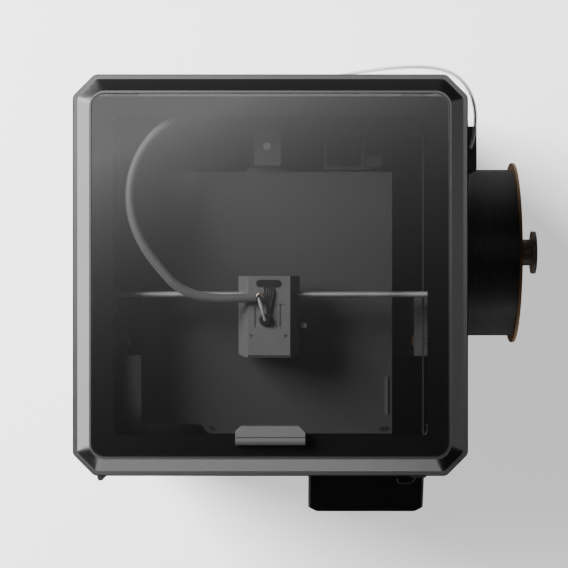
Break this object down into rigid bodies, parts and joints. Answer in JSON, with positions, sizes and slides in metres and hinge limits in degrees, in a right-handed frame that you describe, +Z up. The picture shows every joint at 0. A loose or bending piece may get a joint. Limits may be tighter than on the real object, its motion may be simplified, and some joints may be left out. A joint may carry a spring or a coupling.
{
  "type": "enclosed fdm printer",
  "caption": "Enclosed box-shaped filament printer with a glass lid and door, a side spool, a belt-driven toolhead, a rising bed and a sloping touch screen.",
  "frame": {"origin": "on the floor under the middle of the case (the point midway between the four feet)", "axes": "+X towards the spool side, -Y towards the door and screen, +Z up"},
  "size_m": [0.4929, 0.4969, 0.49],
  "materials": {
    "shell": "fine moulded texture",
    "bezel": "satin moulded",
    "black_plastic": "matt",
    "grey_plastic": "satin",
    "head_plastic": "satin",
    "tinted_glass": "tempered, dark border",
    "screen_glass": "gloss",
    "rubber": "matt",
    "steel": "ground",
    "zinc": "plated",
    "aluminium": "machined",
    "brass": "turned",
    "board": "solder mask",
    "plate": "textured powder coat",
    "belt": "matt",
    "braid": "braided sleeve",
    "tube": "translucent",
    "card": "kraft card",
    "filament": "satin filament",
    "led": "diffuser"
  },
  "bodies": {
    "root": {"base_pan": "shell", "rubber_feet": "rubber", "inner_frame": "zinc", "left_panel": "shell", "right_panel": "shell", "rear_panel": "shell", "front_fascia": "shell", "top_frame": "bezel", "lid_seal": "rubber", "drive_motors": "zinc", "belt_wheels": "aluminium", "drive_belts": "belt", "power_supply": "aluminium", "mainboard": "board", "power_inlet": "black_plastic", "guide_rods": "steel", "exhaust_fan_frame": "black_plastic", "chamber_camera": "black_plastic", "led_strip": "led", "purge_chute": "black_plastic", "wall_ports": "black_plastic", "hinge_mounts": "zinc", "case_screws": "steel", "filament_sensor": "black_plastic", "spool_holder": "black_plastic", "screen_housing": "grey_plastic", "screen_glass": "screen_glass", "feed_tube": "tube", "loom_rear": "braid"},
    "gantry": {"x_rods": "steel", "y_carriages": "black_plastic", "cross_belts": "belt"},
    "toolhead": {"toolhead_cover": "head_plastic", "toolhead_carriage": "aluminium", "hotend": "aluminium", "extruder_motor": "zinc", "head_connectors": "black_plastic", "guide_tube": "tube", "loom_head": "braid"},
    "drive_gear_wheel": {"drive_gear": "steel"},
    "idler_gear_wheel": {"idler_gear": "steel"},
    "head_fan": {"head_fan_rotor": "black_plastic"},
    "cutter": {"cutter_lever": "grey_plastic"},
    "bed": {"bed_frame": "aluminium", "lift_nuts": "brass", "heated_bed": "aluminium", "build_plate": "plate"},
    "screw_left": {"z_screw_left": "steel"},
    "screw_right": {"z_screw_right": "steel"},
    "screw_rear": {"z_screw_rear": "steel"},
    "lid": {"lid_glass": "tinted_glass", "lid_hinge_leaves": "zinc", "lid_handle": "grey_plastic"},
    "door": {"door_glass": "tinted_glass", "door_hinges": "zinc", "door_handle": "grey_plastic"},
    "spool": {"spool_reel": "card", "filament_winding": "filament"},
    "exhaust_fan": {"exhaust_fan_rotor": "black_plastic"},
    "power_switch": {"rocker_switch": "black_plastic"}
  },
  "joints": [
    {"name": "gantry_y", "type": "slide", "parent": "root", "child": "gantry", "axis": [0, 1, 0], "range_m": [-0.104, 0.152], "deforming": ["loom_rear"]},
    {"name": "toolhead_x", "type": "slide", "parent": "gantry", "child": "toolhead", "axis": [1, 0, 0], "range_m": [-0.124, 0.126], "deforming": ["loom_head"]},
    {"name": "drive_gear_spin", "type": "hinge", "parent": "toolhead", "child": "drive_gear_wheel", "pos_m": [0.0007, -0.0456, 0.434], "axis": [0, 1, 0], "continuous": true},
    {"name": "idler_gear_spin", "type": "hinge", "parent": "toolhead", "child": "idler_gear_wheel", "pos_m": [-0.0109, -0.0456, 0.434], "axis": [0, 1, 0], "continuous": true},
    {"name": "head_fan_spin", "type": "hinge", "parent": "toolhead", "child": "head_fan", "pos_m": [-0.0051, -0.075, 0.4055], "axis": [0, 1, 0], "continuous": true},
    {"name": "cutter_push", "type": "slide", "parent": "toolhead", "child": "cutter", "axis": [-1, 0, 0], "range_m": [0, 0.006], "stiffness_N_per_m": 400},
    {"name": "bed_z", "type": "slide", "parent": "root", "child": "bed", "axis": [0, 0, 1], "range_m": [-0.256, 0]},
    {"name": "screw_left_spin", "type": "hinge", "parent": "root", "child": "screw_left", "pos_m": [-0.162, -0.07, 0.2], "axis": [0, 0, 1], "continuous": true},
    {"name": "screw_right_spin", "type": "hinge", "parent": "root", "child": "screw_right", "pos_m": [0.162, -0.07, 0.2], "axis": [0, 0, 1], "continuous": true},
    {"name": "screw_rear_spin", "type": "hinge", "parent": "root", "child": "screw_rear", "pos_m": [-0.004, 0.135, 0.2], "axis": [0, 0, 1], "continuous": true},
    {"name": "lid_lift", "type": "hinge", "parent": "root", "child": "lid", "pos_m": [0, 0.1871, 0.4728], "axis": [-1, 0, 0], "range_deg": [0, 44]},
    {"name": "door_swing", "type": "hinge", "parent": "root", "child": "door", "pos_m": [-0.1745, -0.2074, 0.3], "axis": [0, 0, -1], "range_deg": [0, 110]},
    {"name": "spool_spin", "type": "hinge", "parent": "root", "child": "spool", "pos_m": [0.2377, 0.026, 0.242], "axis": [1, 0, 0], "continuous": true},
    {"name": "exhaust_fan_spin", "type": "hinge", "parent": "root", "child": "exhaust_fan", "pos_m": [-0.095, 0.1904, 0.29], "axis": [0, 1, 0], "continuous": true},
    {"name": "switch_rock", "type": "hinge", "parent": "root", "child": "power_switch", "pos_m": [0.149, 0.1974, 0.042], "axis": [1, 0, 0], "range_deg": [-8, 8]}
  ],
  "couplings": [
    {"joint": "idler_gear_spin", "follows": "drive_gear_spin", "ratio": -1},
    {"joint": "screw_left_spin", "follows": "bed_z", "rad_per_m": 785.4},
    {"joint": "screw_right_spin", "follows": "bed_z", "rad_per_m": 785.4},
    {"joint": "screw_rear_spin", "follows": "bed_z", "rad_per_m": 785.4}
  ]
}
